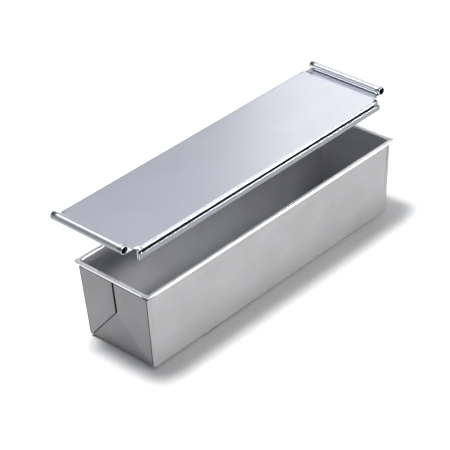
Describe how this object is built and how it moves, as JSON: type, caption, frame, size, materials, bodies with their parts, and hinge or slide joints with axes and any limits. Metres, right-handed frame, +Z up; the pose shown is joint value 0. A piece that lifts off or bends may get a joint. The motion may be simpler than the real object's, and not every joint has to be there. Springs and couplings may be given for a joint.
{
  "type": "loaf pan",
  "caption": "Long slim loaf pan of folded sheet metal with a wired rolled rim and a flat lift-off lid.",
  "frame": {"origin": "middle of the pan's underside, where it rests", "axes": "+Z up out of the pan's mouth, +X along its length"},
  "size_m": [0.3696, 0.1006, 0.1487],
  "materials": {
    "pan_sheet": "satin coated sheet steel",
    "wire": "drawn steel wire",
    "lid_sheet": "bright smooth sheet steel"
  },
  "bodies": {
    "pan": {"pan_body": "pan_sheet", "rim_wire": "wire"},
    "lid": {"lid": "lid_sheet"}
  },
  "joints": [
    {"name": "lid_lift", "type": "slide", "parent": "pan", "child": "lid", "axis": [-0.311, 0, 0.9504], "range_m": [-0.05787, 0.1]}
  ]
}
